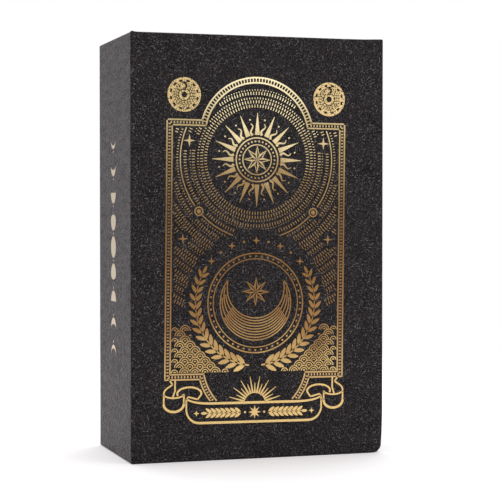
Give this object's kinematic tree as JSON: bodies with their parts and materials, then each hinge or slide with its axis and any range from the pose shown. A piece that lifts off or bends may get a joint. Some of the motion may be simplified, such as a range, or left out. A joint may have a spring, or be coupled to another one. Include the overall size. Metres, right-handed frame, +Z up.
{
  "type": "boxed tarot card deck",
  "caption": "Upright black rigid box with a lift-off lid, gold foil frame and sun print, holding a tarot deck and a stapled guide booklet.",
  "frame": {"origin": "middle of the box's lower end, on the surface that it stands on", "axes": "+Z up along the box's height, +X to the right seen from the printed front, +Y from the printed front to the back"},
  "size_m": [0.0815, 0.043, 0.13],
  "materials": {
    "grey_board": "raw grey board",
    "stay_paper": "kraft tape",
    "wrap_paper": "black fibre paper, matt, with short pale fibres",
    "lining_paper": "matt black paper",
    "gold_foil": "hot-stamped gold foil",
    "cover_paper": "coated black cover stock",
    "page_paper": "uncoated ivory paper",
    "staple_wire": "galvanised wire",
    "card_stock": "black plastic-coated card with gold print and gilt edges"
  },
  "bodies": {
    "tray": {"tray_board": "grey_board", "tray_corner_stays": "stay_paper", "tray_wrap": "wrap_paper", "tray_lining": "lining_paper"},
    "lid": {"lid_board": "grey_board", "lid_corner_stays": "stay_paper", "lid_wrap": "wrap_paper", "lid_lining": "lining_paper", "foil_frame": "gold_foil", "foil_medallions": "gold_foil", "foil_banner": "gold_foil", "foil_emblem": "gold_foil", "foil_spine": "gold_foil"},
    "booklet": {"booklet_back_cover": "cover_paper", "booklet_pages": "page_paper", "booklet_staples": "staple_wire"},
    "booklet_cover": {"booklet_front_cover": "cover_paper"},
    "trump_00": {"trump_00": "card_stock"},
    "trump_01": {"trump_01": "card_stock"},
    "trump_02": {"trump_02": "card_stock"},
    "trump_03": {"trump_03": "card_stock"},
    "trump_04": {"trump_04": "card_stock"},
    "trump_05": {"trump_05": "card_stock"},
    "trump_06": {"trump_06": "card_stock"},
    "trump_07": {"trump_07": "card_stock"},
    "trump_08": {"trump_08": "card_stock"},
    "trump_09": {"trump_09": "card_stock"},
    "trump_10": {"trump_10": "card_stock"},
    "trump_11": {"trump_11": "card_stock"},
    "trump_12": {"trump_12": "card_stock"},
    "trump_13": {"trump_13": "card_stock"},
    "trump_14": {"trump_14": "card_stock"},
    "trump_15": {"trump_15": "card_stock"},
    "trump_16": {"trump_16": "card_stock"},
    "trump_17": {"trump_17": "card_stock"},
    "trump_18": {"trump_18": "card_stock"},
    "trump_19": {"trump_19": "card_stock"},
    "trump_20": {"trump_20": "card_stock"},
    "trump_21": {"trump_21": "card_stock"},
    "wands": {"suit_wands": "card_stock"},
    "cups": {"suit_cups": "card_stock"},
    "swords": {"suit_swords": "card_stock"},
    "pentacles": {"suit_pentacles": "card_stock"}
  },
  "joints": [
    {"name": "lid_lift", "type": "slide", "parent": "tray", "child": "lid", "axis": [0, -1, 0], "range_m": [0, 0.2]},
    {"name": "booklet_lift", "type": "slide", "parent": "tray", "child": "booklet", "axis": [0, -1, 0], "range_m": [0, 0.11]},
    {"name": "trump_00_lift", "type": "slide", "parent": "tray", "child": "trump_00", "axis": [0, -1, 0], "range_m": [0, 0.094]},
    {"name": "trump_01_lift", "type": "slide", "parent": "tray", "child": "trump_01", "axis": [0, -1, 0], "range_m": [0, 0.0924]},
    {"name": "trump_02_lift", "type": "slide", "parent": "tray", "child": "trump_02", "axis": [0, -1, 0], "range_m": [0, 0.0908]},
    {"name": "trump_03_lift", "type": "slide", "parent": "tray", "child": "trump_03", "axis": [0, -1, 0], "range_m": [0, 0.0892]},
    {"name": "trump_04_lift", "type": "slide", "parent": "tray", "child": "trump_04", "axis": [0, -1, 0], "range_m": [0, 0.0876]},
    {"name": "trump_05_lift", "type": "slide", "parent": "tray", "child": "trump_05", "axis": [0, -1, 0], "range_m": [0, 0.086]},
    {"name": "trump_06_lift", "type": "slide", "parent": "tray", "child": "trump_06", "axis": [0, -1, 0], "range_m": [0, 0.0844]},
    {"name": "trump_07_lift", "type": "slide", "parent": "tray", "child": "trump_07", "axis": [0, -1, 0], "range_m": [0, 0.0828]},
    {"name": "trump_08_lift", "type": "slide", "parent": "tray", "child": "trump_08", "axis": [0, -1, 0], "range_m": [0, 0.0812]},
    {"name": "trump_09_lift", "type": "slide", "parent": "tray", "child": "trump_09", "axis": [0, -1, 0], "range_m": [0, 0.0796]},
    {"name": "trump_10_lift", "type": "slide", "parent": "tray", "child": "trump_10", "axis": [0, -1, 0], "range_m": [0, 0.078]},
    {"name": "trump_11_lift", "type": "slide", "parent": "tray", "child": "trump_11", "axis": [0, -1, 0], "range_m": [0, 0.0764]},
    {"name": "trump_12_lift", "type": "slide", "parent": "tray", "child": "trump_12", "axis": [0, -1, 0], "range_m": [0, 0.0748]},
    {"name": "trump_13_lift", "type": "slide", "parent": "tray", "child": "trump_13", "axis": [0, -1, 0], "range_m": [0, 0.0732]},
    {"name": "trump_14_lift", "type": "slide", "parent": "tray", "child": "trump_14", "axis": [0, -1, 0], "range_m": [0, 0.0716]},
    {"name": "trump_15_lift", "type": "slide", "parent": "tray", "child": "trump_15", "axis": [0, -1, 0], "range_m": [0, 0.07]},
    {"name": "trump_16_lift", "type": "slide", "parent": "tray", "child": "trump_16", "axis": [0, -1, 0], "range_m": [0, 0.0684]},
    {"name": "trump_17_lift", "type": "slide", "parent": "tray", "child": "trump_17", "axis": [0, -1, 0], "range_m": [0, 0.0668]},
    {"name": "trump_18_lift", "type": "slide", "parent": "tray", "child": "trump_18", "axis": [0, -1, 0], "range_m": [0, 0.0652]},
    {"name": "trump_19_lift", "type": "slide", "parent": "tray", "child": "trump_19", "axis": [0, -1, 0], "range_m": [0, 0.0636]},
    {"name": "trump_20_lift", "type": "slide", "parent": "tray", "child": "trump_20", "axis": [0, -1, 0], "range_m": [0, 0.062]},
    {"name": "trump_21_lift", "type": "slide", "parent": "tray", "child": "trump_21", "axis": [0, -1, 0], "range_m": [0, 0.0604]},
    {"name": "wands_lift", "type": "slide", "parent": "tray", "child": "wands", "axis": [0, -1, 0], "range_m": [0, 0.057]},
    {"name": "cups_lift", "type": "slide", "parent": "tray", "child": "cups", "axis": [0, -1, 0], "range_m": [0, 0.053]},
    {"name": "swords_lift", "type": "slide", "parent": "tray", "child": "swords", "axis": [0, -1, 0], "range_m": [0, 0.049]},
    {"name": "pentacles_lift", "type": "slide", "parent": "tray", "child": "pentacles", "axis": [0, -1, 0], "range_m": [0, 0.045]},
    {"name": "booklet_cover_turn", "type": "hinge", "parent": "booklet", "child": "booklet_cover", "pos_m": [-0.0284, -0.01845, 0.06244], "axis": [0, 0, -1], "range_deg": [0, 35]}
  ],
  "couplings": [
    {"joint": "booklet_lift", "follows": "lid_lift", "ratio": 0.55},
    {"joint": "trump_00_lift", "follows": "lid_lift", "ratio": 0.47},
    {"joint": "trump_01_lift", "follows": "lid_lift", "ratio": 0.462},
    {"joint": "trump_02_lift", "follows": "lid_lift", "ratio": 0.454},
    {"joint": "trump_03_lift", "follows": "lid_lift", "ratio": 0.446},
    {"joint": "trump_04_lift", "follows": "lid_lift", "ratio": 0.438},
    {"joint": "trump_05_lift", "follows": "lid_lift", "ratio": 0.43},
    {"joint": "trump_06_lift", "follows": "lid_lift", "ratio": 0.422},
    {"joint": "trump_07_lift", "follows": "lid_lift", "ratio": 0.414},
    {"joint": "trump_08_lift", "follows": "lid_lift", "ratio": 0.406},
    {"joint": "trump_09_lift", "follows": "lid_lift", "ratio": 0.398},
    {"joint": "trump_10_lift", "follows": "lid_lift", "ratio": 0.39},
    {"joint": "trump_11_lift", "follows": "lid_lift", "ratio": 0.382},
    {"joint": "trump_12_lift", "follows": "lid_lift", "ratio": 0.374},
    {"joint": "trump_13_lift", "follows": "lid_lift", "ratio": 0.366},
    {"joint": "trump_14_lift", "follows": "lid_lift", "ratio": 0.358},
    {"joint": "trump_15_lift", "follows": "lid_lift", "ratio": 0.35},
    {"joint": "trump_16_lift", "follows": "lid_lift", "ratio": 0.342},
    {"joint": "trump_17_lift", "follows": "lid_lift", "ratio": 0.334},
    {"joint": "trump_18_lift", "follows": "lid_lift", "ratio": 0.326},
    {"joint": "trump_19_lift", "follows": "lid_lift", "ratio": 0.318},
    {"joint": "trump_20_lift", "follows": "lid_lift", "ratio": 0.31},
    {"joint": "trump_21_lift", "follows": "lid_lift", "ratio": 0.302},
    {"joint": "wands_lift", "follows": "lid_lift", "ratio": 0.285},
    {"joint": "cups_lift", "follows": "lid_lift", "ratio": 0.265},
    {"joint": "swords_lift", "follows": "lid_lift", "ratio": 0.245},
    {"joint": "pentacles_lift", "follows": "lid_lift", "ratio": 0.225},
    {"joint": "booklet_cover_turn", "follows": "lid_lift", "rad_per_m": 3.05}
  ]
}
